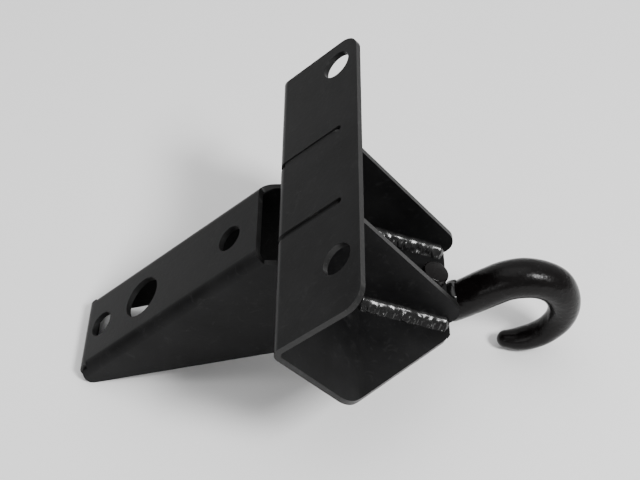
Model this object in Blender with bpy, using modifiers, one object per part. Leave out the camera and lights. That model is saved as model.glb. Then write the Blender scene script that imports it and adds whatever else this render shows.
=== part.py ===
"""Bumper bracket with a forged tow hook, a welded sheet steel part.

The bracket is built in its own frame, in millimetres until the last step:
  +X runs along the arm from its narrow end towards the hook,
  +Y runs up the tall plate,
  depth D is measured back from the front face of the tall plate, so Z = -D.
The empty "rest_frame" then tips the finished part into its resting position.
"""
import math

import bmesh
import bpy
from mathutils import Matrix, Vector

MM = 0.001
GAP = 0.3                    # clearance left between neighbouring solids

# sheet
T = 3.0                      # sheet thickness of both folded parts

# arm channel
ARM_X0 = -147.4              # narrow end
WEB_X1 = -15.7               # end of the web, the flanges carry on
ARM_W = 51.0                 # outside width across the flanges
WEB_D = 1.0                  # depth of the outer face of the web
ARM_R = 6.0                  # outer bend radius
NEAR_FRONT = 1.2             # depth of the near flange front edge in its slot
FAR_FRONT = 0.2              # the same for the far flange
FL_D0 = 11.4                 # depth of the flange bottom at the narrow end
FL_SLOPE = math.radians(27.6)
FREE_X0 = 38.9               # free edge of the flanges at the front
FREE_LEAN = 0.0633           # free edge leans back by this much per mm
TIP_R = 9.0                  # rounding of the deep flange tip
NOTCH_D = 17.0               # depth of the notch behind the end of the web
NOTCH_X0 = -6.0              # start of the notch floor in the near flange
NOTCH_X1 = 2.6               # end of the notch floor, next to the side wall
FAR_CUT_X = -17.68           # slanting cut of the far flange, X at depth 0
FAR_CUT_LEAN = 1.093         # and its run along X per mm of depth
WEB_HOLES = ((-132.0, 14.5), (-99.8, 23.5), (-35.1, 14.5))
LIP_X = -148.4               # outer face of the lip that closes the narrow end
LIP_D = 9.6                  # depth of its edge
LIP_Y0 = 3.2                 # the lip starts this far from the flange faces
RELIEF_X = 6.4               # length of the corner reliefs beside the lip
RELIEF_Y = 1.5               # and where they start
LIP_SET = 0.05               # the lip faces lie this much inside the web faces

# cross bracket
PL_X0 = -2.7                 # left side of the tall plate, outside of the side wall
PL_X1 = 50.2                 # right edge of the tall plate
CR_Y0 = -64.0                # lower end
CR_Y1 = 112.5                # upper end
SKEW_X = 0.0188              # the bracket sits slightly askew on the arm,
SKEW_Z = 0.0138              # shift per mm away from the middle plane
CUT_R = 16.0                 # rounded start of the slanting ends
BEND_D = 58.0                # depth of the second bend, outside corner
BACK_ANG = math.radians(63.7)    # back wall, measured from +X
BACK_L = 49.0                # length of the back wall outside face
BACK_S1 = 55.2               # position of its end along the inside face
R_IN = 2.5                   # inside bend radius
R_IN2 = 8.0                  # inside radius of the second, gentle bend
PL_R = 10.0                  # rounded right corners of the tall plate
PL_HOLES = ((36.7, -32.6), (36.7, 97.6))
PL_HOLE_D = 16.0
SLOT_X1 = 37.8               # round end of the two slots
SLOT_W = T + 2 * GAP
BACK_START = 0.0             # the back wall starts to narrow here
BACK_RISE = 1.03             # rise of its slanting ends per mm

# tow hook
HOOK_Y = ARM_W / 2
TAIL_R = 6.9                 # radius of the tail that passes the back wall
TAIL_OUT = 8.7               # tail stands this far out of the back wall
TAIL_S = 45.8                # position of the tail along the back wall
ELBOW_R = 8.2                # centreline radius of the elbow behind the wall
SHANK_R = 7.9                # bar radius at the end of the elbow
SHANK_D = 113.0              # depth of the shank centreline at the elbow
# centreline of the hook, X, depth and bar radius
HOOK_PATH = (
    (13.1, 113.1, 9.3),
    (21.4, 113.9, 10.0),
    (30.3, 115.0, 10.2),
    (38.7, 116.2, 10.3),
    (47.1, 118.1, 10.3),
    (54.8, 122.4, 10.3),
    (60.3, 129.1, 10.0),
    (62.9, 137.4, 9.8),
    (61.4, 146.3, 9.2),
    (56.8, 154.6, 8.4),
    (49.5, 160.6, 7.7),
    (40.6, 163.4, 7.2),
    (31.9, 163.2, 7.0),
    (24.2, 160.3, 6.4),
    (18.8, 155.5, 4.9),
)

# weld beads
BEAD_R = 2.4                 # beads along the flanges
SLOT_BEAD_R = 0.9            # beads in the slots
SHANK_BEAD_R = 1.8           # bead over the hook shank
TAIL_BEAD_R = 1.5            # bead round the tail

BACK_DIR = Vector((math.cos(BACK_ANG), math.sin(BACK_ANG)))
BACK_N = Vector((BACK_DIR.y, -BACK_DIR.x))


def clear_scene():
    for obj in list(bpy.data.objects):
        bpy.data.objects.remove(obj, do_unlink=True)


def new_collection(name):
    coll = bpy.data.collections.new(name)
    bpy.context.scene.collection.children.link(coll)
    return coll


def make_material(name, colour, rough, metal):
    mat = bpy.data.materials.new(name)
    mat.use_nodes = True
    shader = mat.node_tree.nodes["Principled BSDF"]
    shader.inputs["Base Color"].default_value = (*colour, 1.0)
    shader.inputs["Roughness"].default_value = rough
    shader.inputs["Metallic"].default_value = metal
    mat.diffuse_color = (*colour, 1.0)
    return mat


def finish_object(name, mesh, coll, parent, mat=None):
    mesh.name = name
    obj = bpy.data.objects.new(name, mesh)
    coll.objects.link(obj)
    obj.parent = parent
    if mat is not None:
        mesh.materials.clear()
        mesh.materials.append(mat)
    return obj


def mesh_of(curve):
    """Turn a curve into a closed mesh and drop the curve."""
    tmp = bpy.data.objects.new("tmp", curve)
    bpy.context.scene.collection.objects.link(tmp)
    bpy.context.view_layer.update()
    graph = bpy.context.evaluated_depsgraph_get()
    mesh = bpy.data.meshes.new_from_object(tmp.evaluated_get(graph))
    bpy.data.objects.remove(tmp, do_unlink=True)
    bm = bmesh.new()
    bm.from_mesh(mesh)
    bmesh.ops.remove_doubles(bm, verts=bm.verts, dist=1e-6)
    bmesh.ops.recalc_face_normals(bm, faces=bm.faces)
    bm.to_mesh(mesh)
    bm.free()
    return mesh


def prism(outline, half):
    """Flat outline in the local XY plane, extruded both ways along Z."""
    curve = bpy.data.curves.new("outline", "CURVE")
    curve.dimensions = "2D"
    curve.fill_mode = "BOTH"
    curve.extrude = half * MM
    spline = curve.splines.new("POLY")
    spline.points.add(len(outline) - 1)
    for point, (u, v) in zip(spline.points, outline):
        point.co = (u * MM, v * MM, 0.0, 1.0)
    spline.use_cyclic_u = True
    return mesh_of(curve)


def prism_y(outline, y0, y1):
    """Outline given as (X, depth), extruded along Y."""
    mesh = prism([(x, -d) for x, d in outline], (y1 - y0) / 2)
    turn = Matrix.Rotation(math.pi / 2, 4, "X")
    mesh.transform(Matrix.Translation((0, (y0 + y1) / 2 * MM, 0)) @ turn)
    return mesh


def prism_z(outline, d0, d1):
    """Outline given as (X, Y), extruded from depth d0 to d1."""
    mesh = prism(outline, (d1 - d0) / 2)
    mesh.transform(Matrix.Translation((0, 0, -(d0 + d1) / 2 * MM)))
    return mesh


SKEW = Matrix.Identity(4)
SKEW[0][1] = SKEW_X
SKEW[2][1] = SKEW_Z
SKEW[0][3] = -SKEW_X * HOOK_Y * MM
SKEW[2][3] = -SKEW_Z * HOOK_Y * MM


def skewed(mesh):
    """The mesh as it sits on the slightly askew cross bracket."""
    mesh.transform(SKEW)
    return mesh


def on_cross(x, y, d):
    """Point of the askew cross bracket, in millimetres."""
    p = SKEW @ Vector((x * MM, y * MM, -d * MM))
    return p / MM


def trim_outline(y_end, sign):
    """Slanting end of the back wall with a rounded start."""
    reach = BACK_S1 - 2.7
    slope = math.atan(BACK_RISE)
    run = CUT_R * math.tan(slope / 2)
    cx = BACK_START - run
    out = []
    for k in range(9):
        a = slope * k / 8
        out.append((cx + CUT_R * math.sin(a),
                    y_end + sign * (CUT_R * (1 - math.cos(a)) - 0.05)))
    top = y_end + sign * BACK_RISE * (reach - BACK_START)
    out += [(reach, top), (reach + 2.2, top + sign * 3.6), (60.0, top + sign * 3.7),
            (60.0, y_end - sign * 4), (cx, y_end - sign * 4)]
    return out


def back_frame(s, y, h):
    """Matrix that puts local X along the back wall, Y along +Y, Z out of it."""
    p = BACK_ORIGIN + BACK_DIR * s + BACK_N * h
    along = Vector((BACK_DIR.x, 0, -BACK_DIR.y))
    up = Vector((0, 1, 0))
    out = Vector((BACK_N.x, 0, -BACK_N.y))
    turn = Matrix((along, up, out)).transposed().to_4x4()
    return Matrix.Translation((p.x * MM, y * MM, -p.y * MM)) @ turn


def arc(cx, cy, r, a0, a1, steps):
    """Points on an arc, angles in degrees."""
    out = []
    for k in range(steps + 1):
        a = math.radians(a0 + (a1 - a0) * k / steps)
        out.append((cx + r * math.cos(a), cy + r * math.sin(a)))
    return out


def fold_outline(corners, radii, t):
    """Outline of a folded strip from its sharp outside corners.

    The material lies to the right of the direction of travel.
    """
    pts = [Vector(p) for p in corners]
    dirs = [(b - a).normalized() for a, b in zip(pts, pts[1:])]
    norms = [Vector((d.y, -d.x)) for d in dirs]
    outer = [pts[0]]
    inner = [pts[0] + norms[0] * t]
    for k in range(1, len(pts) - 1):
        r_out = radii[k - 1] + t
        turn = dirs[k - 1].angle(dirs[k])
        mid = pts[k] - dirs[k - 1] * (r_out * math.tan(turn / 2))
        centre = mid + norms[k - 1] * r_out
        steps = max(3, round(math.degrees(turn) / 9))
        for j in range(steps + 1):
            n = norms[k - 1].slerp(norms[k], j / steps)
            outer.append(centre - n * r_out)
            inner.append(centre - n * radii[k - 1])
    outer.append(pts[-1])
    inner.append(pts[-1] + norms[-1] * t)
    return [tuple(p) for p in outer + inner[::-1]]


def sweep(path, segments, flat_ends=True):
    """Round bar through (x, y, z, radius) points, in millimetres."""
    curve = bpy.data.curves.new("path", "CURVE")
    curve.dimensions = "3D"
    curve.fill_mode = "FULL"
    curve.bevel_depth = MM
    curve.bevel_resolution = segments
    curve.use_fill_caps = flat_ends
    spline = curve.splines.new("POLY")
    spline.points.add(len(path) - 1)
    for point, (x, y, z, r) in zip(spline.points, path):
        point.co = (x * MM, y * MM, z * MM, 1.0)
        point.radius = r
    return mesh_of(curve)


def catmull(points, per):
    """Smooth run through tuples of any length."""
    out = []
    n = len(points)
    for k in range(n - 1):
        p0 = points[max(k - 1, 0)]
        p1 = points[k]
        p2 = points[k + 1]
        p3 = points[min(k + 2, n - 1)]
        for j in range(per):
            t = j / per
            row = []
            for a, b, c, d in zip(p0, p1, p2, p3):
                row.append(0.5 * (2 * b + (c - a) * t
                                  + (2 * a - 5 * b + 4 * c - d) * t * t
                                  + (3 * b - 3 * c + d - a) * t ** 3))
            out.append(tuple(row))
    out.append(points[-1])
    return out


def rounded_bead(points, r):
    """Bead path with rounded ends, points are (x, y, z)."""
    pts = [Vector(p) for p in points]
    head = (pts[0] - pts[1]).normalized()
    tail = (pts[-1] - pts[-2]).normalized()
    path = []
    for a in (80, 55, 30):
        f = math.sin(math.radians(a))
        path.append((*(pts[0] + head * r * f), r * math.cos(math.radians(a))))
    path += [(*p, r) for p in pts]
    for a in (30, 55, 80):
        f = math.sin(math.radians(a))
        path.append((*(pts[-1] + tail * r * f), r * math.cos(math.radians(a))))
    return path


def boolean(obj, cutter, operation="DIFFERENCE"):
    mod = obj.modifiers.new(cutter.name, "BOOLEAN")
    mod.operation = operation
    mod.solver = "EXACT"
    mod.object = cutter


def add_cutter(name, mesh, parent, coll):
    obj = finish_object(name, mesh, coll, parent)
    obj.hide_render = True
    obj.display_type = "WIRE"
    return obj


def soften(obj, width, angle):
    """Small broken edge on the cut sheet."""
    mod = obj.modifiers.new("broken_edge", "BEVEL")
    mod.width = width * MM
    mod.segments = 2
    mod.limit_method = "ANGLE"
    mod.angle_limit = math.radians(angle)
    mod.use_clamp_overlap = True


def smooth(obj, angle):
    obj.data.shade_smooth()
    obj.data.set_sharp_from_angle(angle=math.radians(angle))


clear_scene()
parts = new_collection("bumper_bracket")
cutters = new_collection("cutters")
rest = bpy.data.objects.new("rest_frame", None)
parts.objects.link(rest)

paint_arm = make_material("black_paint_arm", (0.018, 0.018, 0.019), 0.34, 0.0)
paint_cross = make_material("black_paint_cross", (0.017, 0.017, 0.018), 0.33, 0.0)
paint_hook = make_material("black_enamel_hook", (0.010, 0.009, 0.009), 0.20, 0.0)
paint_weld = make_material("black_paint_weld", (0.022, 0.022, 0.022), 0.16, 0.0)

# corner points of the cross bracket outside face, X and depth
back_end = Vector((PL_X0, BEND_D)) + BACK_DIR * BACK_L
CROSS = ((PL_X1, 0.0), (PL_X0, 0.0), (PL_X0, BEND_D), tuple(back_end))
# zero of the along-the-wall position on the inside face of the back wall
BACK_ORIGIN = back_end + BACK_N * T - BACK_DIR * BACK_S1


# ---- cross bracket -------------------------------------------------------
outline = fold_outline(CROSS, (R_IN, R_IN2), T)
cross = finish_object("cross_bracket", skewed(prism_y(outline, CR_Y0, CR_Y1)),
                      parts, rest, paint_cross)

slot_half = SLOT_W / 2
for tag, y_mid in (("near", T / 2), ("far", ARM_W - T / 2)):
    shape = [(-40.0, y_mid - slot_half)]
    shape += [(x, y) for x, y in arc(SLOT_X1, y_mid, slot_half, -90, 90, 8)]
    shape.append((-40.0, y_mid + slot_half))
    slot = add_cutter("cut_slot_" + tag, skewed(prism_z(shape, -4, 112)),
                      rest, cutters)
    boolean(cross, slot)

for k, (x, y) in enumerate(PL_HOLES):
    ring = arc(x, y, PL_HOLE_D / 2, 0, 345, 31)
    hole = add_cutter("cut_plate_hole_%d" % k, skewed(prism_z(ring, -4, 8)),
                      rest, cutters)
    boolean(cross, hole)

for tag, y_end, sign in (("low", CR_Y0, 1), ("high", CR_Y1, -1)):
    cx = PL_X1 - PL_R
    cy = y_end + sign * PL_R
    shape = arc(cx, cy, PL_R, 0, -90 * sign, 8)
    shape += [(cx, y_end - 6 * sign), (PL_X1 + 6, y_end - 6 * sign), (PL_X1 + 6, cy)]
    corner = add_cutter("cut_corner_" + tag, skewed(prism_z(shape, -4, 8)),
                        rest, cutters)
    boolean(cross, corner)

for tag, y_end, sign in (("low", CR_Y0, 1), ("high", CR_Y1, -1)):
    mesh = prism(trim_outline(y_end, sign), 8)
    mesh.transform(back_frame(0, 0, -2))
    trim = add_cutter("cut_back_" + tag, skewed(mesh), rest, cutters)
    boolean(cross, trim)

ring = arc(0, 0, TAIL_R + 1.5 * GAP, 0, 345, 31)
mesh = prism(ring, 9)
mesh.transform(back_frame(TAIL_S, HOOK_Y, -2))
boolean(cross, add_cutter("cut_tail_hole", skewed(mesh), rest, cutters))
soften(cross, 0.35, 50)

# ---- arm channel ---------------------------------------------------------
tan_f = math.tan(FL_SLOPE)


def free_x(d):
    return FREE_X0 - FREE_LEAN * d


def tip_round():
    """Rounding between the free edge and the sloping bottom."""
    up = Vector((FREE_LEAN, -1.0)).normalized()
    back = Vector((-math.cos(FL_SLOPE), -math.sin(FL_SLOPE)))
    d = (FL_D0 + (FREE_X0 - ARM_X0) * tan_f) / (1 + FREE_LEAN * tan_f)
    corner = Vector((free_x(d), d))
    half = up.angle(back) / 2
    centre = corner + (up + back).normalized() * (TIP_R / math.sin(half))
    first = corner + up * (TIP_R / math.tan(half)) - centre
    last = corner + back * (TIP_R / math.tan(half)) - centre
    a0 = math.atan2(first.y, first.x)
    a1 = math.atan2(last.y, last.x)
    return arc(centre.x, centre.y, TIP_R, math.degrees(a0), math.degrees(a1), 9)


def far_cut(d):
    """End of the far bend and of the far flange above the notch."""
    return max(WEB_X1, FAR_CUT_X + FAR_CUT_LEAN * d)


def flange_outline(front, notch_x):
    """Outline of one flange past the bend line, front is its depth in the slot."""
    out = [(notch_x, NOTCH_D), (NOTCH_X1, NOTCH_D), (NOTCH_X1 + 0.4, front),
           (FREE_X0 - 3.1, front), (free_x(4.2), 4.2)]
    out += tip_round()
    out += [(ARM_X0 + 1.5, FL_D0 + 1.5 * tan_f), (ARM_X0, FL_D0 - 0.8)]
    return out


# outside face of the sheet, thickened inwards below
bend_d = WEB_D + ARM_R
near_row = [(ARM_R - ARM_R * math.cos(a), bend_d - ARM_R * math.sin(a))
            for a in [math.radians(15 * k) for k in range(7)]]
far_row = [(ARM_W - y, d) for y, d in near_row[::-1]]
bm = bmesh.new()
rows = [[bm.verts.new((ARM_X0 * MM, y * MM, -d * MM)) for y, d in near_row + far_row],
        [bm.verts.new((WEB_X1 * MM, y * MM, -d * MM)) for y, d in near_row]]
rows[1] += [bm.verts.new((far_cut(d) * MM, y * MM, -d * MM)) for y, d in far_row]
for k in range(len(rows[0]) - 1):
    bm.faces.new((rows[0][k], rows[0][k + 1], rows[1][k + 1], rows[1][k]))
for index, y, front, notch_x in ((0, 0.0, NEAR_FRONT, NOTCH_X0),
                                 (-1, ARM_W, FAR_FRONT, far_cut(NOTCH_D))):
    loop = [rows[0][index], rows[1][index]]
    loop += [bm.verts.new((x * MM, y * MM, -d * MM))
             for x, d in flange_outline(front, notch_x)]
    bm.faces.new(loop if index == 0 else loop[::-1])
bmesh.ops.recalc_face_normals(bm, faces=bm.faces)
bm.faces.ensure_lookup_table()
web = max(bm.faces, key=lambda f: f.calc_center_median().z)
if web.normal.z < 0:
    bmesh.ops.reverse_faces(bm, faces=bm.faces)
mesh = bpy.data.meshes.new("arm_channel")
bm.to_mesh(mesh)
bm.free()
arm = finish_object("arm_channel", mesh, parts, rest, paint_arm)
thick = arm.modifiers.new("sheet", "SOLIDIFY")
thick.thickness = T * MM
thick.offset = -1.0
thick.use_even_offset = True
# the web turns down at the narrow end, between two corner reliefs
relief_x = ARM_X0 + RELIEF_X
for name, y, d in (("cut_web_end", T + 0.1, bend_d + 0.2), ("cut_relief", RELIEF_Y, 3.4)):
    relief = [(ARM_X0 - 1, y), (relief_x, y), (relief_x, ARM_W - y), (ARM_X0 - 1, ARM_W - y)]
    boolean(arm, add_cutter(name, prism_z(relief, -4, d), rest, cutters))
slant = [(ARM_X0 - 1, -1), (ARM_X0 + 2.6, -1), (ARM_X0 + 2.2, 2.9), (ARM_X0, 7.5),
         (ARM_X0 - 1, 7.5)]
boolean(arm, add_cutter("cut_flange_ends", prism_y(slant, -1, ARM_W + 1), rest, cutters))
lip_top = WEB_D + LIP_SET
lip = fold_outline(((relief_x + 0.5, lip_top), (LIP_X, lip_top), (LIP_X, LIP_D)),
                   (ARM_R - T,), T - 2 * LIP_SET)
add_lip = add_cutter("add_end_lip", prism_y(lip, LIP_Y0, ARM_W - LIP_Y0), rest, cutters)
boolean(arm, add_lip, "UNION")
for k, (x, dia) in enumerate(WEB_HOLES):
    ring = arc(x, ARM_W / 2, dia / 2, 0, 345, 31)
    hole = add_cutter("cut_web_hole_%d" % k, prism_z(ring, -4, 9), rest, cutters)
    boolean(arm, hole)
soften(arm, 0.35, 50)

# ---- tow hook ------------------------------------------------------------
tail_face = BACK_ORIGIN + BACK_DIR * TAIL_S + BACK_N * TAIL_OUT
# the elbow joins the tail line to the level shank
tail_q = BACK_ORIGIN + BACK_DIR * TAIL_S
lift = SHANK_D - ELBOW_R * (1 + BACK_N.x) - tail_q.y
reach = lift / -BACK_N.y
elbow_c = Vector((tail_q.x - BACK_N.x * reach - BACK_N.y * ELBOW_R,
                  SHANK_D - ELBOW_R))
path = []
tail_end = elbow_c + Vector((BACK_N.y, -BACK_N.x)) * ELBOW_R
path.append((tail_face.x, tail_face.y, TAIL_R - 0.6))
path.append((*(tail_face - BACK_N * 0.6), TAIL_R))
for k in range(1, 5):
    p = tail_face.lerp(tail_end, k / 5)
    path.append((p.x, p.y, TAIL_R))
a_tail = math.atan2(-BACK_N.x, BACK_N.y)
a_shank = math.pi / 2 - 2 * math.pi
for k in range(17):
    a = a_tail + (a_shank - a_tail) * k / 16
    r = TAIL_R + (SHANK_R - TAIL_R) * k / 16
    path.append((elbow_c.x + ELBOW_R * math.cos(a),
                 elbow_c.y + ELBOW_R * math.sin(a), r))
path += catmull(HOOK_PATH, 5)
tip = Vector(HOOK_PATH[-1][:2])
tip_dir = (tip - Vector(HOOK_PATH[-2][:2])).normalized()
tip_r = HOOK_PATH[-1][2]
for a in (20, 40, 58, 74, 85):
    p = tip + tip_dir * tip_r * math.sin(math.radians(a))
    path.append((p.x, p.y, tip_r * math.cos(math.radians(a))))
mesh = sweep([(x, HOOK_Y, -d, r) for x, d, r in path], 13)
hook = finish_object("tow_hook", mesh, parts, rest, paint_hook)
smooth(hook, 40)

# ---- weld beads ----------------------------------------------------------


def add_bead(name, points, r, res=3):
    mesh = sweep(rounded_bead(points, r), res)
    obj = finish_object(name, mesh, parts, rest, paint_weld)
    smooth(obj, 60)
    return obj


off = BEAD_R + GAP
for name, y in (("flange_weld_near_outer", -off), ("flange_weld_near_inner", T + off),
                ("flange_weld_far_inner", ARM_W - T - off),
                ("flange_weld_far_outer", ARM_W + off)):
    run = []
    for k in range(9):
        p = BACK_ORIGIN + BACK_DIR * (8.5 + 42.5 * k / 8) + BACK_N * off
        run.append(on_cross(p.x, y, p.y))
    add_bead(name, run, BEAD_R)

for name, y in (("side_weld_near", -off), ("side_weld_far", ARM_W + off)):
    run = []
    for k in range(5):
        d = 21 + 24 * k / 4
        run.append(on_cross(PL_X0 - off, y, d))
    add_bead(name, run, BEAD_R)

for name, y, front in (("slot_weld_near", T / 2, NEAR_FRONT),
                       ("slot_weld_far", ARM_W - T / 2, FAR_FRONT)):
    run = [(x, y, SLOT_BEAD_R + GAP - front) for x in (6.0, 16.0, 25.0, 35.0)]
    add_bead(name, run, SLOT_BEAD_R)

# bead over the shank where it passes the end of the back wall
wall_end = BACK_ORIGIN + BACK_DIR * BACK_S1
run = []
for k in range(9):
    a = math.radians(-36 + 72 * k / 8)
    r = 10.1 + SHANK_BEAD_R + GAP
    run.append((wall_end.x + SHANK_BEAD_R, HOOK_Y + r * math.sin(a),
                -113.9 + r * math.cos(a)))
add_bead("shank_weld", run, SHANK_BEAD_R)

# bead round the open side of the tail, behind the back wall
run = []
turn = back_frame(TAIL_S, HOOK_Y, -T - TAIL_BEAD_R - GAP)
for k in range(17):
    a = math.radians(75 + 210 * k / 16)
    r = TAIL_R + TAIL_BEAD_R + GAP
    p = turn @ Vector((r * math.cos(a) * MM, r * math.sin(a) * MM, 0))
    run.append(tuple(p / MM))
add_bead("tail_weld", run, TAIL_BEAD_R)

# ---- resting position ----------------------------------------------------
# the part rests on the two narrow flange corners and on the hook
foot = Vector((ARM_X0 + 1.5, FL_D0 + 1.5 * tan_f))
tilt = 0.0
for x, d, r in path:
    v = Vector((x, d)) - foot
    if v.length > r:
        tilt = max(tilt, math.atan2(v.y, v.x) + math.asin(r / v.length))
rest.rotation_euler = (0.0, -tilt, 0.0)
bpy.context.view_layer.update()
graph = bpy.context.evaluated_depsgraph_get()
low = Vector((1e9, 1e9, 1e9))
high = -low
for obj in parts.objects:
    if obj.type != "MESH":
        continue
    shape = obj.evaluated_get(graph)
    for vert in shape.data.vertices:
        p = shape.matrix_world @ vert.co
        low = Vector(map(min, low, p))
        high = Vector(map(max, high, p))
rest.location = (-(low.x + high.x) / 2, -(low.y + high.y) / 2, -low.z)
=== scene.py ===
"""Looks for the bumper bracket with tow hook: fine sheet pieces, forged hook,
rippled weld beads, black paint, studio floor, light and camera."""

import math
import random

import bmesh
import bpy
from mathutils import Matrix, Vector, noise


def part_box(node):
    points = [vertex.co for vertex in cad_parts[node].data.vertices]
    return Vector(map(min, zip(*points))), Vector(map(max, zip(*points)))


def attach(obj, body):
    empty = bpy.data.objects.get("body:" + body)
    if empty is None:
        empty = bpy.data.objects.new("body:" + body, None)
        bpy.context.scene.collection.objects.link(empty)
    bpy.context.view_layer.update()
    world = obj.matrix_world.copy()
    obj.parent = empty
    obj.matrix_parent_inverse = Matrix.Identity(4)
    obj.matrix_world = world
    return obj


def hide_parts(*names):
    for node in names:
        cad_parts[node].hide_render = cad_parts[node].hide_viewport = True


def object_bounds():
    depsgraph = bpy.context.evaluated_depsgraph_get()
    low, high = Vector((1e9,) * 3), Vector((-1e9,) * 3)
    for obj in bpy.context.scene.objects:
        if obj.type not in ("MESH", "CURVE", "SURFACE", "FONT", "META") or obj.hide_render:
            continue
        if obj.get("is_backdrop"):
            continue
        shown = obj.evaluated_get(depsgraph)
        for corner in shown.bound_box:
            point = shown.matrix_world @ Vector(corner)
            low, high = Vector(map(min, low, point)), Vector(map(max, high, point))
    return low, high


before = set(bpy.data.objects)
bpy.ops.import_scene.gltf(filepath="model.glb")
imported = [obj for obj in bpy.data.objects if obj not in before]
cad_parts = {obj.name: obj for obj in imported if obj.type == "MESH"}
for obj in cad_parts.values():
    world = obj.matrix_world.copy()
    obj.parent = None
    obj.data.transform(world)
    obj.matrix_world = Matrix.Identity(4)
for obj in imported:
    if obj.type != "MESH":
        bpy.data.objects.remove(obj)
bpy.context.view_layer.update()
MM = 0.001

# ---- sizes of the part, millimetres, in the bracket's own frame -----------
# X runs along the arm to the hook, Y up the tall plate, depth D behind its face
TILT = math.radians(42.67395642472915)    # how far the bracket leans as it lies
T = 3.0                      # sheet thickness

# arm channel
ARM_X0 = -147.4              # narrow end of the flanges
WEB_X1 = -15.7               # end of the web, the flanges carry on
ARM_W = 51.0                 # outside width across the flanges
WEB_D = 1.0                  # depth of the outer face of the web
ARM_R = 6.0                  # outer bend radius
NEAR_FRONT = 1.2             # depth of the near flange front edge in its slot
FAR_FRONT = 0.2              # the same for the far flange
FL_D0 = 11.4                 # depth of the flange bottom at the narrow end
FL_SLOPE = math.radians(27.6)
FREE_X0 = 38.9               # free edge of the flanges at the front
FREE_LEAN = 0.0633           # free edge leans back by this much per mm
TIP_R = 9.0                  # rounding of the deep flange tip
NOTCH_D = 17.0               # depth of the notch behind the end of the web
NOTCH_X0 = -6.0              # start of the notch floor in the near flange
NOTCH_X1 = 2.6               # end of the notch floor, next to the side wall
FAR_CUT_X = -17.68           # slanting cut of the far flange, X at depth 0
FAR_CUT_LEAN = 1.093         # and its run along X per mm of depth
WEB_HOLES = ((-132.0, 14.5), (-99.8, 23.5), (-35.1, 14.5))    # X and diameter
LIP_X = -148.4               # outer face of the lip that closes the narrow end
LIP_D = 9.6                  # depth of its edge
LIP_Y0 = 3.2                 # the lip starts this far from the flange faces
RELIEF_X = 6.4               # length of the corner reliefs beside the lip
RELIEF_Y = 1.5               # and where they start
LIP_SET = 0.05               # the lip faces lie this much inside the web faces

# cross bracket
PL_X0 = -2.7                 # left side of the tall plate, outside of the side wall
PL_X1 = 50.2                 # right edge of the tall plate
CR_Y0 = -64.0                # lower end
CR_Y1 = 112.5                # upper end
SKEW_X = 0.0188              # the bracket sits slightly askew on the arm,
SKEW_Z = 0.0138              # shift per mm away from the middle plane
CUT_R = 16.0                 # rounded start of the slanting ends
BEND_D = 58.0                # depth of the second bend, outside corner
BACK_ANG = math.radians(63.7)    # back wall, measured from +X
BACK_L = 49.0                # length of the back wall outside face
BACK_S1 = 55.2               # position of its end along the inside face
R_IN = 2.5                   # inside bend radius
R_IN2 = 8.0                  # inside radius of the second, gentle bend
PL_R = 10.0                  # rounded right corners of the tall plate
PL_HOLES = ((36.7, -32.6), (36.7, 97.6))
PL_HOLE_D = 16.0
SLOT_X1 = 37.8               # round end of the two slots
SLOT_W = T + 0.5
BACK_START = 0.0             # the back wall starts to narrow here
BACK_RISE = 1.03             # rise of its slanting ends per mm
SHEET_EDGE = 0.45            # rounding of the cut edges of both sheets
CUT_FROM = -4.0              # depth where the cutters of the front face start

# tow hook
HOOK_Y = ARM_W / 2
TAIL_R = 6.9                 # radius of the tail that passes the back wall
TAIL_OUT = 8.7               # tail stands this far out of the back wall
TAIL_S = 45.8                # position of the tail along the back wall
ELBOW_R = 8.2                # centreline radius of the elbow behind the wall
SHANK_R = 7.9                # bar radius at the end of the elbow
SHANK_D = 113.0              # depth of the shank centreline at the elbow
# X, depth and bar radius along the centreline
HOOK_PATH = (
    (13.1, 113.1, 9.3),
    (21.4, 113.9, 10.0),
    (30.3, 115.0, 10.2),
    (38.7, 116.2, 10.3),
    (47.1, 118.1, 10.3),
    (54.8, 122.4, 10.3),
    (60.3, 129.1, 10.0),
    (62.9, 137.4, 9.8),
    (61.4, 146.3, 9.2),
    (56.8, 154.6, 8.4),
    (49.5, 160.6, 7.7),
    (40.6, 163.4, 7.2),
    (31.9, 163.2, 7.0),
    (24.2, 160.3, 6.4),
    (18.8, 155.5, 4.9),
)

BACK_DIR = Vector((math.cos(BACK_ANG), math.sin(BACK_ANG)))
BACK_N = Vector((BACK_DIR.y, -BACK_DIR.x))
back_end = Vector((PL_X0, BEND_D)) + BACK_DIR * BACK_L
CROSS = ((PL_X1, 0.0), (PL_X0, 0.0), (PL_X0, BEND_D), tuple(back_end))
BACK_ORIGIN = back_end + BACK_N * T - BACK_DIR * BACK_S1
LOCAL = Matrix.Rotation(-TILT, 4, "Y")


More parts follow.
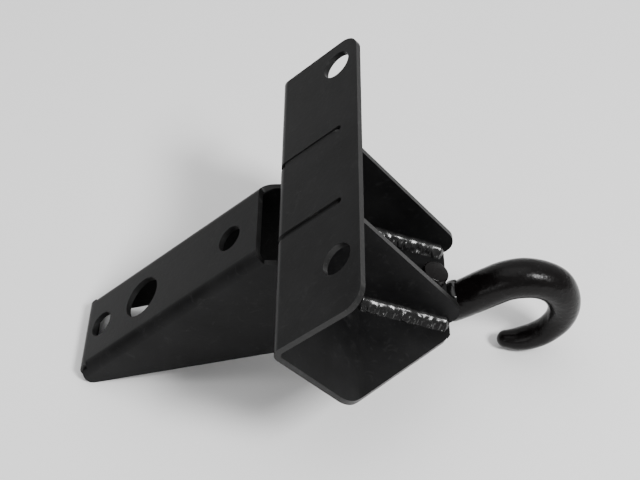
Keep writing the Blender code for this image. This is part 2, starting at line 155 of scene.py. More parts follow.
# ---- material building ----------------------------------------------------
class Nodes:
    """Short hand for wiring a node tree."""

    def __init__(self, mat):
        mat.use_nodes = True
        self.tree = mat.node_tree
        self.bsdf = self.tree.nodes["Principled BSDF"]
        coord = self.tree.nodes.new("ShaderNodeTexCoord")
        self.space = coord.outputs["Object"]

    def add(self, kind, **values):
        node = self.tree.nodes.new(kind)
        for key, value in values.items():
            setattr(node, key, value)
        return node

    def link(self, a, b):
        self.tree.links.new(a, b)

    def noise(self, scale, detail=2.0, rough=0.5, distort=0.0):
        node = self.add("ShaderNodeTexNoise")
        node.inputs["Scale"].default_value = scale
        node.inputs["Detail"].default_value = detail
        node.inputs["Roughness"].default_value = rough
        node.inputs["Distortion"].default_value = distort
        self.link(self.space, node.inputs["Vector"])
        return node.outputs["Fac"]

    def ramp(self, src, stops):
        node = self.add("ShaderNodeValToRGB")
        ramp = node.color_ramp
        while len(ramp.elements) < len(stops):
            ramp.elements.new(0.5)
        for element, (pos, value) in zip(ramp.elements, stops):
            element.position = pos
            colour = value if isinstance(value, tuple) else (value, value, value)
            element.color = (*colour, 1.0)
        self.link(src, node.inputs["Fac"])
        return node.outputs["Color"]

    def mix(self, fac, a, b):
        node = self.add("ShaderNodeMix", data_type="RGBA")
        self.put(node.inputs["Factor"], fac)
        self.put(node.inputs[6], a)
        self.put(node.inputs[7], b)
        return node.outputs[2]

    def math(self, op, a, b=0.0, clamp=False):
        node = self.add("ShaderNodeMath", operation=op, use_clamp=clamp)
        self.put(node.inputs[0], a)
        self.put(node.inputs[1], b)
        return node.outputs[0]

    def put(self, socket, value):
        if isinstance(value, bpy.types.NodeSocket):
            self.link(value, socket)
        elif isinstance(value, tuple):
            socket.default_value = (*value, 1.0)
        else:
            socket.default_value = value

    def bump(self, height, distance, strength, normal=None):
        node = self.add("ShaderNodeBump")
        node.inputs["Distance"].default_value = distance
        node.inputs["Strength"].default_value = strength
        self.link(height, node.inputs["Height"])
        if normal is not None:
            self.link(normal, node.inputs["Normal"])
        return node.outputs["Normal"]


def paint(name, colour, rough, peel, dust, shine):
    """Black paint on steel: orange peel, dust, faint scuffs."""
    mat = bpy.data.materials.new(name)
    n = Nodes(mat)
    cloud = n.noise(38.0, 4.0, 0.6)
    grain = n.noise(1900.0, 3.0, 0.6)
    specks = n.ramp(n.noise(900.0, 2.0, 0.7), [(0.70, 0.0), (0.78, 1.0)])
    scuff = n.ramp(n.noise(130.0, 6.0, 0.72, 1.4), [(0.56, 0.0), (0.72, 1.0)])
    light = tuple(c * 1.6 + 0.002 for c in colour)
    grey = tuple(c + 0.04 for c in colour)
    tone = n.mix(n.ramp(cloud, [(0.35, 0.0), (0.7, 1.0)]), colour, light)
    tone = n.mix(n.math("MULTIPLY", specks, dust), tone, grey)
    tone = n.mix(n.math("MULTIPLY", scuff, dust * 0.5), tone, grey)
    n.link(tone, n.bsdf.inputs["Base Color"])
    r = n.math("MULTIPLY_ADD", cloud, 0.16)
    r.node.inputs[2].default_value = rough - 0.08
    r = n.math("ADD", r, n.math("MULTIPLY", scuff, 0.12), clamp=True)
    n.link(r, n.bsdf.inputs["Roughness"])
    wave = n.noise(420.0, 2.0, 0.5)
    normal = n.bump(wave, 0.0004, peel)
    normal = n.bump(grain, 0.0001, peel * 0.8, normal)
    n.link(normal, n.bsdf.inputs["Normal"])
    n.bsdf.inputs["Specular IOR Level"].default_value = shine
    mat.diffuse_color = (*colour, 1.0)
    return mat


# ---- mesh building ----------------------------------------------------------
def mesh_of(curve, weld=1e-6):
    """The closed mesh of a curve object."""
    tmp = bpy.data.objects.new("tmp", curve)
    bpy.context.scene.collection.objects.link(tmp)
    bpy.context.view_layer.update()
    graph = bpy.context.evaluated_depsgraph_get()
    mesh = bpy.data.meshes.new_from_object(tmp.evaluated_get(graph))
    bpy.data.objects.remove(tmp, do_unlink=True)
    bm = bmesh.new()
    bm.from_mesh(mesh)
    bmesh.ops.remove_doubles(bm, verts=bm.verts, dist=weld)
    bmesh.ops.recalc_face_normals(bm, faces=bm.faces)
    bm.to_mesh(mesh)
    bm.free()
    return mesh


def prism(outline, half):
    """Flat outline in the local XY plane, extruded both ways along Z."""
    curve = bpy.data.curves.new("outline", "CURVE")
    curve.dimensions = "2D"
    curve.fill_mode = "BOTH"
    curve.extrude = half * MM
    spline = curve.splines.new("POLY")
    spline.points.add(len(outline) - 1)
    for point, (u, v) in zip(spline.points, outline):
        point.co = (u * MM, v * MM, 0.0, 1.0)
    spline.use_cyclic_u = True
    return mesh_of(curve)


def prism_y(outline, y0, y1):
    """Outline given as (X, depth), extruded along Y."""
    mesh = prism([(x, -d) for x, d in outline], (y1 - y0) / 2)
    turn = Matrix.Rotation(math.pi / 2, 4, "X")
    mesh.transform(Matrix.Translation((0, (y0 + y1) / 2 * MM, 0)) @ turn)
    return mesh


def prism_z(outline, d0, d1):
    """Outline given as (X, Y), extruded from depth d0 to d1."""
    mesh = prism(outline, (d1 - d0) / 2)
    mesh.transform(Matrix.Translation((0, 0, -(d0 + d1) / 2 * MM)))
    return mesh


SKEW = Matrix.Identity(4)
SKEW[0][1] = SKEW_X
SKEW[2][1] = SKEW_Z
SKEW[0][3] = -SKEW_X * HOOK_Y * MM
SKEW[2][3] = -SKEW_Z * HOOK_Y * MM


def skewed(mesh):
    """The mesh as it sits on the slightly askew cross bracket."""
    mesh.transform(SKEW)
    return mesh


def on_cross(x, y, d):
    """Point of the askew cross bracket, in millimetres."""
    p = SKEW @ Vector((x * MM, y * MM, -d * MM))
    return p / MM


def trim_outline(y_end, sign):
    """Slanting end of the back wall with a rounded start."""
    reach = BACK_S1 - 2.7
    slope = math.atan(BACK_RISE)
    run = CUT_R * math.tan(slope / 2)
    cx = BACK_START - run
    out = []
    for k in range(9):
        a = slope * k / 8
        out.append((cx + CUT_R * math.sin(a),
                    y_end + sign * (CUT_R * (1 - math.cos(a)) - 0.05)))
    top = y_end + sign * BACK_RISE * (reach - BACK_START)
    out += [(reach, top), (reach + 2.2, top + sign * 3.6), (60.0, top + sign * 3.7),
            (60.0, y_end - sign * 4), (cx, y_end - sign * 4)]
    return out


def back_frame(s, y, h):
    """Frame on the back wall: along it, across the arm, out of its face."""
    p = BACK_ORIGIN + BACK_DIR * s + BACK_N * h
    along = Vector((BACK_DIR.x, 0, -BACK_DIR.y))
    up = Vector((0, 1, 0))
    out = Vector((BACK_N.x, 0, -BACK_N.y))
    turn = Matrix((along, up, out)).transposed().to_4x4()
    return Matrix.Translation((p.x * MM, y * MM, -p.y * MM)) @ turn


def arc(cx, cy, r, a0, a1, steps):
    out = []
    for k in range(steps + 1):
        a = math.radians(a0 + (a1 - a0) * k / steps)
        out.append((cx + r * math.cos(a), cy + r * math.sin(a)))
    return out


def circle(cx, cy, r, steps=56):
    return arc(cx, cy, r, 0, 360 - 360 / steps, steps - 1)


def fold_outline(corners, radii, t):
    """Outline of a folded strip from its sharp outside corners.

    The material lies to the right of the direction of travel.
    """
    pts = [Vector(p) for p in corners]
    dirs = [(b - a).normalized() for a, b in zip(pts, pts[1:])]
    norms = [Vector((d.y, -d.x)) for d in dirs]
    outer = [pts[0]]
    inner = [pts[0] + norms[0] * t]
    for k in range(1, len(pts) - 1):
        r_out = radii[k - 1] + t
        turn = dirs[k - 1].angle(dirs[k])
        mid = pts[k] - dirs[k - 1] * (r_out * math.tan(turn / 2))
        centre = mid + norms[k - 1] * r_out
        steps = max(6, round(math.degrees(turn) / 5))
        for j in range(steps + 1):
            n = norms[k - 1].slerp(norms[k], j / steps)
            outer.append(centre - n * r_out)
            inner.append(centre - n * radii[k - 1])
    outer.append(pts[-1])
    inner.append(pts[-1] + norms[-1] * t)
    return [tuple(p) for p in outer + inner[::-1]]


def catmull(points, per):
    """Smooth curve through the points, in per steps from each to the next."""
    out = []
    n = len(points)
    for k in range(n - 1):
        rows = [points[max(k - 1, 0)], points[k], points[k + 1], points[min(k + 2, n - 1)]]
        for j in range(per):
            t = j / per
            out.append(tuple(
                0.5 * (2 * b + (c - a) * t + (2 * a - 5 * b + 4 * c - d) * t * t
                       + (3 * b - 3 * c + d - a) * t ** 3)
                for a, b, c, d in zip(*rows)))
    out.append(points[-1])
    return out


def tube(rings):
    """Closed skin through rings of points, ends closed by fans."""
    bm = bmesh.new()
    rows = [[bm.verts.new(p) for p in ring] for ring in rings]
    n = len(rows[0])
    for a, b in zip(rows, rows[1:]):
        for k in range(n):
            bm.faces.new((a[k], a[(k + 1) % n], b[(k + 1) % n], b[k]))
    for row in (rows[0], rows[-1]):
        centre = bm.verts.new(sum((v.co for v in row), Vector()) / n)
        for k in range(n):
            bm.faces.new((row[k], row[(k + 1) % n], centre))
    bmesh.ops.recalc_face_normals(bm, faces=bm.faces)
    mesh = bpy.data.meshes.new("tube")
    bm.to_mesh(mesh)
    bm.free()
    return mesh


def cut(mesh, cutters, operation="DIFFERENCE"):
    """The mesh with cutters to be taken away or added, as an object."""
    base = bpy.data.objects.new("base", mesh)
    bpy.context.scene.collection.objects.link(base)
    made = []
    for cutter in cutters:
        obj = bpy.data.objects.new("cutter", cutter)
        bpy.context.scene.collection.objects.link(obj)
        mod = base.modifiers.new("cut", "BOOLEAN")
        mod.operation = operation
        mod.solver = "EXACT"
        mod.object = obj
        made.append(obj)
    return base, made


def bake(base, made):
    """The finished mesh of base, with base and its cutters removed."""
    bpy.context.view_layer.update()
    graph = bpy.context.evaluated_depsgraph_get()
    mesh = bpy.data.meshes.new_from_object(base.evaluated_get(graph))
    for obj in made + [base]:
        bpy.data.objects.remove(obj, do_unlink=True)
    return mesh


def edge_bevel(obj, width, angle, segments=3):
    mod = obj.modifiers.new("edge", "BEVEL")
    mod.width = width * MM
    mod.segments = segments
    mod.limit_method = "ANGLE"
    mod.angle_limit = math.radians(angle)
    mod.use_clamp_overlap = True
    mod.harden_normals = False


def piece(name, mesh, node, mat, sharp=40, sheet=False, edge=None, is_edge=None):
    """Put the mesh in the scene in place of a plain solid of the frame."""
    mesh.materials.clear()
    mesh.materials.append(mat)
    if edge:
        cut_edges(mesh, edge, is_edge)
    mesh.transform(PLACE)
    mesh.shade_smooth()
    mesh.set_sharp_from_angle(angle=math.radians(sharp))
    obj = bpy.data.objects.new(name, mesh)
    bpy.context.scene.collection.objects.link(obj)
    if sheet:
        mod = obj.modifiers.new("flat_faces", "WEIGHTED_NORMAL")
        mod.mode = "FACE_AREA"
        mod.weight = 80
        mod.keep_sharp = True
    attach(obj, "root")
    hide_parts(node)


BLACK = (0.0044, 0.0044, 0.0046)
ENAMEL = (0.0014, 0.0010, 0.0010)
BEAD_BLACK = (0.003, 0.003, 0.003)
# lighter black of the cut edges: worn, thinner paint, and a painted highlight along the edges
EDGE_WEAR_AND_HIGHLIGHT_BLACK = (0.006, 0.006, 0.006)
# roughness, orange peel, dust and shine of each paint
arm_paint = paint("arm_paint", BLACK, 0.38, 0.10, 0.5, 0.08)
cross_paint = paint("cross_paint", BLACK, 0.36, 0.10, 0.5, 0.09)
hook_paint = paint("hook_enamel", ENAMEL, 0.22, 0.5, 0.3, 0.15)
weld_paint = paint("weld_paint", BEAD_BLACK, 0.20, 0.12, 0.3, 0.44)
# edge paints: the lighter black is partly wear and partly a painted highlight along the cut
# edges
arm_edge = paint("arm_edge_paint", EDGE_WEAR_AND_HIGHLIGHT_BLACK, 0.38, 0.15, 0.9, 0.20)
cross_edge = paint("cross_edge_paint", EDGE_WEAR_AND_HIGHLIGHT_BLACK, 0.38, 0.15, 0.9, 0.20)


def cut_edges(mesh, mat, is_edge):
    """Give the cut edges of a sheet their own coat: thinner and worn, and a lighter black as
    a painted highlight along the edges.
    """
    mesh.materials.append(mat)
    for face in mesh.polygons:
        x, y, z = face.center / MM
        if is_edge(face.normal, x, y, -z):
            face.material_index = 1


# ---- arm channel ------------------------------------------------------------
tan_f = math.tan(FL_SLOPE)
bend_d = WEB_D + ARM_R


def free_x(d):
    return FREE_X0 - FREE_LEAN * d


def tip_round():
    """Rounding between the free edge and the sloping bottom."""
    up = Vector((FREE_LEAN, -1.0)).normalized()
    back = Vector((-math.cos(FL_SLOPE), -math.sin(FL_SLOPE)))
    d = (FL_D0 + (FREE_X0 - ARM_X0) * tan_f) / (1 + FREE_LEAN * tan_f)
    corner = Vector((free_x(d), d))
    half = up.angle(back) / 2
    centre = corner + (up + back).normalized() * (TIP_R / math.sin(half))
    first = corner + up * (TIP_R / math.tan(half)) - centre
    last = corner + back * (TIP_R / math.tan(half)) - centre
    a0 = math.atan2(first.y, first.x)
    a1 = math.atan2(last.y, last.x)
    return arc(centre.x, centre.y, TIP_R, math.degrees(a0), math.degrees(a1), 16)


def far_cut(d):
    """End of the far bend and of the far flange above the notch."""
    return max(WEB_X1, FAR_CUT_X + FAR_CUT_LEAN * d)


def flange_outline(front, notch_x):
    """Outline of one flange past the bend line, front is its depth in the slot."""
    out = [(notch_x, NOTCH_D), (NOTCH_X1, NOTCH_D), (NOTCH_X1 + 0.4, front),
           (FREE_X0 - 3.1, front), (free_x(4.2), 4.2)]
    out += tip_round()
    out += [(ARM_X0 + 1.5, FL_D0 + 1.5 * tan_f), (ARM_X0, FL_D0 - 0.8)]
    return out


def folded_channel():
    """Web, both bends and both flanges as one sheet."""
    near_row = [(ARM_R - ARM_R * math.cos(a), bend_d - ARM_R * math.sin(a))
                for a in [math.radians(7.5 * k) for k in range(13)]]
    far_row = [(ARM_W - y, d) for y, d in near_row[::-1]]
    bm = bmesh.new()
    rows = [[bm.verts.new((ARM_X0 * MM, y * MM, -d * MM)) for y, d in near_row + far_row],
            [bm.verts.new((WEB_X1 * MM, y * MM, -d * MM)) for y, d in near_row]]
    rows[1] += [bm.verts.new((far_cut(d) * MM, y * MM, -d * MM)) for y, d in far_row]
    for k in range(len(rows[0]) - 1):
        bm.faces.new((rows[0][k], rows[0][k + 1], rows[1][k + 1], rows[1][k]))
    for index, y, front, notch_x in ((0, 0.0, NEAR_FRONT, NOTCH_X0),
                                     (-1, ARM_W, FAR_FRONT, far_cut(NOTCH_D))):
        loop = [rows[0][index], rows[1][index]]
        loop += [bm.verts.new((x * MM, y * MM, -d * MM))
                 for x, d in flange_outline(front, notch_x)]
        bm.faces.new(loop if index == 0 else loop[::-1])
    bmesh.ops.recalc_face_normals(bm, faces=bm.faces)
    web = max(bm.faces, key=lambda f: f.calc_center_median().z)
    if web.normal.z < 0:
        bmesh.ops.reverse_faces(bm, faces=bm.faces)
    mesh = bpy.data.meshes.new("arm")
    bm.to_mesh(mesh)
    bm.free()
    base = bpy.data.objects.new("base", mesh)
    bpy.context.scene.collection.objects.link(base)
    thick = base.modifiers.new("sheet", "SOLIDIFY")
    thick.thickness = T * MM
    thick.offset = -1.0
    thick.use_even_offset = True
    return bake(base, [])


def close_end(solid):
    """Turn the web down into a lip at the narrow end, between two corner reliefs."""
    relief_x = ARM_X0 + RELIEF_X
    cutters = []
    for y, d in ((T + 0.1, bend_d + 0.2), (RELIEF_Y, 3.4)):
        relief = [(ARM_X0 - 1, y), (relief_x, y),
                  (relief_x, ARM_W - y), (ARM_X0 - 1, ARM_W - y)]
        cutters.append(prism_z(relief, CUT_FROM, d))
    slant = [(ARM_X0 - 1, -1), (ARM_X0 + 2.6, -1), (ARM_X0 + 2.2, 2.9), (ARM_X0, 7.5),
             (ARM_X0 - 1, 7.5)]
    cutters.append(prism_y(slant, -1, ARM_W + 1))
    solid = bake(*cut(solid, cutters))
    lip_top = WEB_D + LIP_SET
    lip = fold_outline(((relief_x + 0.5, lip_top), (LIP_X, lip_top), (LIP_X, LIP_D)),
                       (ARM_R - T,), T - 2 * LIP_SET)
    return bake(*cut(solid, [prism_y(lip, LIP_Y0, ARM_W - LIP_Y0)], "UNION"))


def arm_mesh():
    solid = close_end(folded_channel())
    holes = [prism_z(circle(x, ARM_W / 2, dia / 2), CUT_FROM, 9) for x, dia in WEB_HOLES]
    base, made = cut(solid, holes)
    edge_bevel(base, SHEET_EDGE, 50)
    return bake(base, made)


mesh = arm_mesh()
low = Vector((1e9, 1e9, 1e9))
for vert in mesh.vertices:
    low = Vector(map(min, low, LOCAL @ vert.co))
# from the bracket's own frame to the frame of the part as it lies
PLACE = Matrix.Translation(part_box("arm_channel")[0] - low) @ LOCAL


def arm_edge_face(n, x, y, d):
    """Whether a face of the arm, by its normal and centre, is a cut edge."""
    if x < ARM_X0 + RELIEF_X + 0.5 and LIP_Y0 - 0.3 < y < ARM_W - LIP_Y0 + 0.3:
        return (abs(n.y) > 0.8 and not LIP_Y0 + 0.3 < y < ARM_W - LIP_Y0 - 0.3) or (
            n.z < -0.8 and d > LIP_D - 1)
    if abs(n.x) > 0.25:
        return True
    return abs(n.z) < 0.8 and any(math.hypot(x - hx, y - ARM_W / 2) < dia / 2 + 0.6
                                  for hx, dia in WEB_HOLES)


piece("arm_channel_fine", mesh, "arm_channel", arm_paint, sheet=True,
      edge=arm_edge, is_edge=arm_edge_face)


# ---- cross bracket ------------------------------------------------------------
def cross_mesh():
    solid = skewed(prism_y(fold_outline(CROSS, (R_IN, R_IN2), T), CR_Y0, CR_Y1))
    cutters = []
    for y_mid in (T / 2, ARM_W - T / 2):
        shape = [(-40.0, y_mid - SLOT_W / 2)]
        shape += arc(SLOT_X1, y_mid, SLOT_W / 2, -90, 90, 12)
        shape.append((-40.0, y_mid + SLOT_W / 2))
        cutters.append(prism_z(shape, CUT_FROM, 112))
    for x, y in PL_HOLES:
        cutters.append(prism_z(circle(x, y, PL_HOLE_D / 2), CUT_FROM, 8))
    for y_end, sign in ((CR_Y0, 1), (CR_Y1, -1)):
        cx = PL_X1 - PL_R
        cy = y_end + sign * PL_R
        shape = arc(cx, cy, PL_R, 0, -90 * sign, 14)
        shape += [(cx, y_end - 6 * sign), (PL_X1 + 6, y_end - 6 * sign), (PL_X1 + 6, cy)]
        cutters.append(prism_z(shape, CUT_FROM, 8))
        trim = prism(trim_outline(y_end, sign), 8)
        trim.transform(back_frame(0, 0, -2))
        cutters.append(trim)
    hole = prism(circle(0, 0, TAIL_R + 0.4), 9)
    hole.transform(back_frame(TAIL_S, HOOK_Y, -2))
    cutters.append(hole)
    base, made = cut(solid, [skewed(mesh) for mesh in cutters])
    edge_bevel(base, SHEET_EDGE, 50)
    return bake(base, made)


def cross_edge_face(n, x, y, d):
    """Whether a face of the cross bracket, by its normal and centre, is a cut edge."""
    if abs(n.y) > 0.25:
        return True
    if x > PL_X1 + SKEW_X * (y - HOOK_Y) - 0.7 and d < 5:
        return True
    if n.x * BACK_DIR.x - n.z * BACK_DIR.y > 0.3 and d > 80:
        return True
    return abs(n.z) < 0.8 and any(
        math.hypot(x - hx - SKEW_X * (hy - HOOK_Y), y - hy) < PL_HOLE_D / 2 + 0.6
        for hx, hy in PL_HOLES)


piece("cross_bracket_fine", cross_mesh(), "cross_bracket", cross_paint,
      sheet=True, edge=cross_edge, is_edge=cross_edge_face)


# ---- tow hook ------------------------------------------------------------------
def hook_line():
    """X, depth and radius of the bar, from the tail disc to the tip."""
    face = BACK_ORIGIN + BACK_DIR * TAIL_S + BACK_N * TAIL_OUT
    q = BACK_ORIGIN + BACK_DIR * TAIL_S
    lift = SHANK_D - ELBOW_R * (1 + BACK_N.x) - q.y
    reach = lift / -BACK_N.y
    c = Vector((q.x - BACK_N.x * reach - BACK_N.y * ELBOW_R, SHANK_D - ELBOW_R))
    tail_end = c + Vector((BACK_N.y, -BACK_N.x)) * ELBOW_R
    line = [(face.x, face.y, TAIL_R - 0.9)]
    for back, r in ((0.15, TAIL_R - 0.5), (0.45, TAIL_R - 0.15), (0.9, TAIL_R)):
        p = face - BACK_N * back
        line.append((p.x, p.y, r))
    for k in range(1, 8):
        p = face.lerp(tail_end, k / 8)
        line.append((p.x, p.y, TAIL_R))
    a_tail = math.atan2(-BACK_N.x, BACK_N.y)
    a_shank = math.pi / 2 - 2 * math.pi
    for k in range(25):
        a = a_tail + (a_shank - a_tail) * k / 24
        r = TAIL_R + (SHANK_R - TAIL_R) * k / 24
        line.append((c.x + ELBOW_R * math.cos(a), c.y + ELBOW_R * math.sin(a), r))
    line += catmull(HOOK_PATH, 9)
    tip = Vector(HOOK_PATH[-1][:2])
    way = (tip - Vector(HOOK_PATH[-2][:2])).normalized()
    for k in range(1, 10):
        a = math.radians(86 * k / 9)
        p = tip + way * HOOK_PATH[-1][2] * math.sin(a)
        line.append((p.x, p.y, HOOK_PATH[-1][2] * math.cos(a)))
    return line


def hook_mesh():
    """Round bar along hook_line, with the slight lumps of a forging."""
    line = hook_line()
    rings = []
    sides = 56
    for k, (x, d, r) in enumerate(line):
        a = Vector(line[max(k - 1, 0)][:2])
        b = Vector(line[min(k + 1, len(line) - 1)][:2])
        way = (b - a).normalized()
        out = Vector((way.y, 0, way.x))
        ring = []
        for j in range(sides):
            t = 2 * math.pi * j / sides
            p = out * math.cos(t) + Vector((0, 1, 0)) * math.sin(t)
            where = Vector((x, HOOK_Y, -d)) + p * r
            lump = noise.noise(where * 0.11) * 0.10 + noise.noise(where * 0.45) * 0.035
            ring.append((where + p * (lump if k > 3 else 0.0)) * MM)
        rings.append(ring)
    return tube(rings)


piece("tow_hook_fine", hook_mesh(), "tow_hook", hook_paint, 50)


# ---- weld beads ------------------------------------------------------------------
# skin of a bead across its width, as shares of its two legs
FILLET = ((1.0, 0.0), (0.60, 0.55), (0.42, 0.98), (0.0, 1.0))
ROUND = ((1.0, 0.0), (1.0, 0.55), (0.55, 1.0), (0.0, 1.0))
BEAD_STEP = 0.3              # length of one step along a bead
BEAD_ACROSS = 22             # steps across its skin
RIPPLE_GAP = (1.6, 4.2)      # shortest and longest distance between two ripples
SMOOTH_FROM = 0.62           # share of the width where the ripples end


def bezier(points, t):
    row = [Vector(p) for p in points]
    while len(row) > 1:
        row = [a.lerp(b, t) for a, b in zip(row, row[1:])]
    return row[0]


def bead_mesh(points, side_a, side_b, leg_a, leg_b, seed, rough=1.0, swell=0.07,
              profile=FILLET):
    """Fillet bead along points, lying in the corner between two surfaces.

    side_a and side_b are the directions from the corner along each surface, leg_a
    and leg_b how far the bead reaches along them. The skin is laid in uneven
    ripples on side_a and runs smoother towards side_b.
    """
    rng = random.Random(seed)
    pts = [Vector(p) for p in points]
    steps = []
    for a, b in zip(pts, pts[1:]):
        count = max(2, round((b - a).length / BEAD_STEP))
        steps += [a.lerp(b, k / count) for k in range(count)]
    steps.append(pts[-1])
    length = sum((b - a).length for a, b in zip(steps, steps[1:]))
    crests = [-1.0]
    while crests[-1] < length + 4:
        crests.append(crests[-1] + rng.uniform(*RIPPLE_GAP))
    seat = rng.random() * 50
    rings = []
    run = 0.0
    for k, p in enumerate(steps):
        if k:
            run += (p - steps[k - 1]).length
        end = min(run, length - run)
        full = math.sqrt(min(1.0, 0.12 + end / 3.2))
        wide = 1 + swell * noise.noise(Vector((run * 0.16, seat, 0)))
        edge = 1 + 0.07 * noise.noise(Vector((run * 0.40, seat, 9)))
        ring = []
        for j in range(BEAD_ACROSS + 1):
            f = j / BEAD_ACROSS
            at = run + (1 - (2 * f - 1) ** 2) * 1.6
            n = max(i for i, c in enumerate(crests) if c <= at)
            phase = (at - crests[n]) / (crests[n + 1] - crests[n])
            ripple = (1 - abs(2 * phase - 1) ** 3) * (0.4 + 0.6 * math.sin(n * 2.4) ** 2)
            lay = rough * max(0.0, 1 - f / SMOOTH_FROM) ** 0.8 * min(1.0, 8 * f + 0.2)
            lump = noise.noise(Vector((run * 0.42, f * 2.2, seat + 3)))
            grit = noise.noise(Vector((run * 1.1, f * 4, seat + 7)))
            size = 0.95 + lay * (0.03 * ripple + 0.15 * lump + 0.08 * grit) + 0.010 * lump
            u, v = bezier(profile, f) * (full * wide * size)
            ring.append(p + side_a * (leg_a * edge * u) + side_b * (leg_b * v))
        ring.append(p + (side_a + side_b) * 0.03)
        rings.append([q * MM for q in ring])
    return tube(rings)


def weld(name, mesh):
    """Add one bead in place of the plain bead of that name."""
    piece(name + "_fine", mesh, name, weld_paint, 75)


def back_point(s, y):
    """Point on the inside face of the back wall."""
    p = BACK_ORIGIN + BACK_DIR * s
    return on_cross(p.x, y, p.y)


out_back = Vector((BACK_N.x, 0, -BACK_N.y))
for name, y, way, seed in (("flange_weld_near_outer", 0.0, -1, 1),
                           ("flange_weld_near_inner", T, 1, 2),
                           ("flange_weld_far_inner", ARM_W - T, -1, 3),
                           ("flange_weld_far_outer", ARM_W, 1, 4)):
    line = [back_point(4.0 + 50.4 * k / 9, y) for k in range(10)]
    weld(name, bead_mesh(line, Vector((0, way, 0)), out_back, 6.0, 5.4, seed))

for name, y, way, seed in (("side_weld_near", 0.0, -1, 5), ("side_weld_far", ARM_W, 1, 6)):
    line = [on_cross(PL_X0, y, 17 + 31 * k / 5) for k in range(6)]
    weld(name, bead_mesh(line, Vector((0, way, 0)), Vector((-1, 0, 0)), 5.4, 4.2, seed))

# the near slot is filled below the plate face, the far slot almost flush
for name, y, depth, start, seed in (("slot_weld_near", T / 2, NEAR_FRONT, 4.2, 7),
                                    ("slot_weld_far", ARM_W - T / 2, 0.0, 4.2, 8)):
    line = [on_cross(start + (SLOT_X1 + 1.2 - start) * k / 9, y - 1.75, depth + 1.75)
            for k in range(10)]
    up = Vector((0, 0.86, 0.5)).normalized()
    flat = Vector((0, 0.86, -0.5)).normalized()
    weld(name, bead_mesh(line, up, flat, 2.75, 2.75, seed, 0.7, 0.05, ROUND))

# lumpy bead between the end of the back wall and the shank
wall_end = BACK_ORIGIN + BACK_DIR * BACK_S1
line = []
for k in range(17):
    a = math.radians(-52 + 104 * k / 16)
    line.append(Vector((wall_end.x - 1.3, HOOK_Y + 9.9 * math.sin(a),
                        -113.8 + 9.9 * math.cos(a))))
weld("shank_weld", bead_mesh(line, Vector((1, 0, 0)), Vector((0, 0, 1)), 4.2, 2.4, 9,
                             0.6, 0.2, ROUND))


def tail_ring(leg=3.3, steps=64):
    """Uneven bead round the tail, on the hidden side of the back wall."""
    turn = back_frame(TAIL_S, HOOK_Y, -T)
    aim = turn.to_3x3()
    rings = []
    for k in range(steps + 1):
        a = math.radians(75 + 210 * k / steps)
        radial = aim @ Vector((math.cos(a), math.sin(a), 0))
        down = aim @ Vector((0, 0, -1))
        p = turn @ Vector((TAIL_R * math.cos(a) * MM, TAIL_R * math.sin(a) * MM, 0)) / MM
        phase = (k * 0.21) % 1.0
        end = min(k, steps - k) / 8
        size = leg * (0.84 + 0.14 * phase) * math.sqrt(min(1.0, 0.2 + end))
        row = []
        for j in range(13):
            ang = math.pi / 2 * j / 12
            row.append((p + radial * size * math.cos(ang) + down * size * math.sin(ang)) * MM)
        row.append((p + (radial + down) * 0.03) * MM)
        rings.append(row)
    return tube(rings)


weld("tail_weld", tail_ring())

# ---- floor, light, camera -------------------------------------------------------
bm = bmesh.new()
bmesh.ops.create_grid(bm, x_segments=1, y_segments=1, size=6.0)
mesh = bpy.data.meshes.new("floor")
bm.to_mesh(mesh)
bm.free()
floor = bpy.data.objects.new("floor", mesh)
bpy.context.scene.collection.objects.link(floor)
floor.location.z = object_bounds()[0].z - 0.0001
floor_mat = bpy.data.materials.new("floor_paper")
nodes = Nodes(floor_mat)
tone = nodes.mix(nodes.noise(1.5, 2.0), (0.93, 0.93, 0.93), (0.95, 0.95, 0.95))
nodes.link(tone, nodes.bsdf.inputs["Base Color"])
nodes.bsdf.inputs["Roughness"].default_value = 0.9
mesh.materials.append(floor_mat)
floor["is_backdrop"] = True

world = bpy.data.worlds.new("studio")
bpy.context.scene.world = world
world.use_nodes = True
back = world.node_tree.nodes["Background"]
back.inputs["Color"].default_value = (1.0, 1.0, 1.0, 1.0)
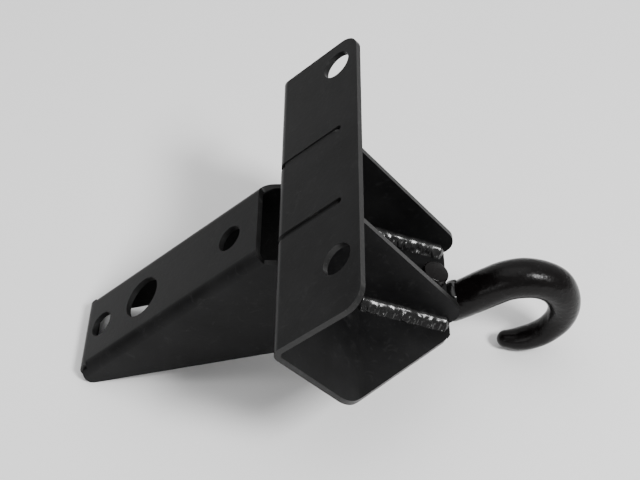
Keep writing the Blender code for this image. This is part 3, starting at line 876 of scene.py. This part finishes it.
# the room is bright behind the part and dim on the near side
sky = world.node_tree.nodes.new("ShaderNodeTexCoord")
aim = world.node_tree.nodes.new("ShaderNodeVectorMath")
aim.operation = "DOT_PRODUCT"
aim.inputs[1].default_value = (0.0, 0.75, 0.66)
fade = world.node_tree.nodes.new("ShaderNodeMapRange")
fade.interpolation_type = "SMOOTHSTEP"
fade.inputs["From Min"].default_value = -0.10
fade.inputs["From Max"].default_value = 1.05
fade.inputs["To Min"].default_value = 0.44
fade.inputs["To Max"].default_value = 0.98
world.node_tree.links.new(sky.outputs["Generated"], aim.inputs[0])
world.node_tree.links.new(aim.outputs["Value"], fade.inputs["Value"])
world.node_tree.links.new(fade.outputs["Result"], back.inputs["Strength"])


def area_light(name, where, size, power):
    """Square light that looks at the middle of the part."""
    data = bpy.data.lights.new(name, "AREA")
    data.shape = "RECTANGLE"
    data.size = data.size_y = size
    data.energy = power
    obj = bpy.data.objects.new(name, data)
    bpy.context.scene.collection.objects.link(obj)
    obj.location = where
    way = Vector((0.0, 0.0, 0.03)) - Vector(where)
    obj.rotation_euler = way.to_track_quat("-Z", "Y").to_euler()


area_light("soft_box", (-0.25, 0.10, 1.90), 1.6, 8.0)
area_light("key", (0.80, -0.74, 1.30), 0.38, 31.0)
area_light("side_fill", (-0.62, -1.25, 0.62), 0.40, 1.5)

# camera fitted to the bracket, in the bracket's own frame
CAM_AT = Vector((296.26, -396.51, 291.27))
CAM_RIGHT = Vector((0.73605, 0.00341, -0.67692))
CAM_FORWARD = Vector((-0.49054, 0.69179, -0.5299))
HALF_VIEW = 0.25257378944860287    # half of the field of view across, radians
right = (PLACE.to_3x3() @ CAM_RIGHT).normalized()
ahead = (PLACE.to_3x3() @ CAM_FORWARD).normalized()
up = right.cross(ahead).normalized()
right = ahead.cross(up).normalized()
data = bpy.data.cameras.new("camera")
data.sensor_width = 36.0
data.lens = 18.0 / math.tan(HALF_VIEW)
data.clip_start = 0.01
camera = bpy.data.objects.new("camera", data)
bpy.context.scene.collection.objects.link(camera)
turn = Matrix((right, up, -ahead)).transposed()
camera.matrix_world = Matrix.Translation(PLACE @ (CAM_AT * MM)) @ turn.to_4x4()
bpy.context.scene.camera = camera

low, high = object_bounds()
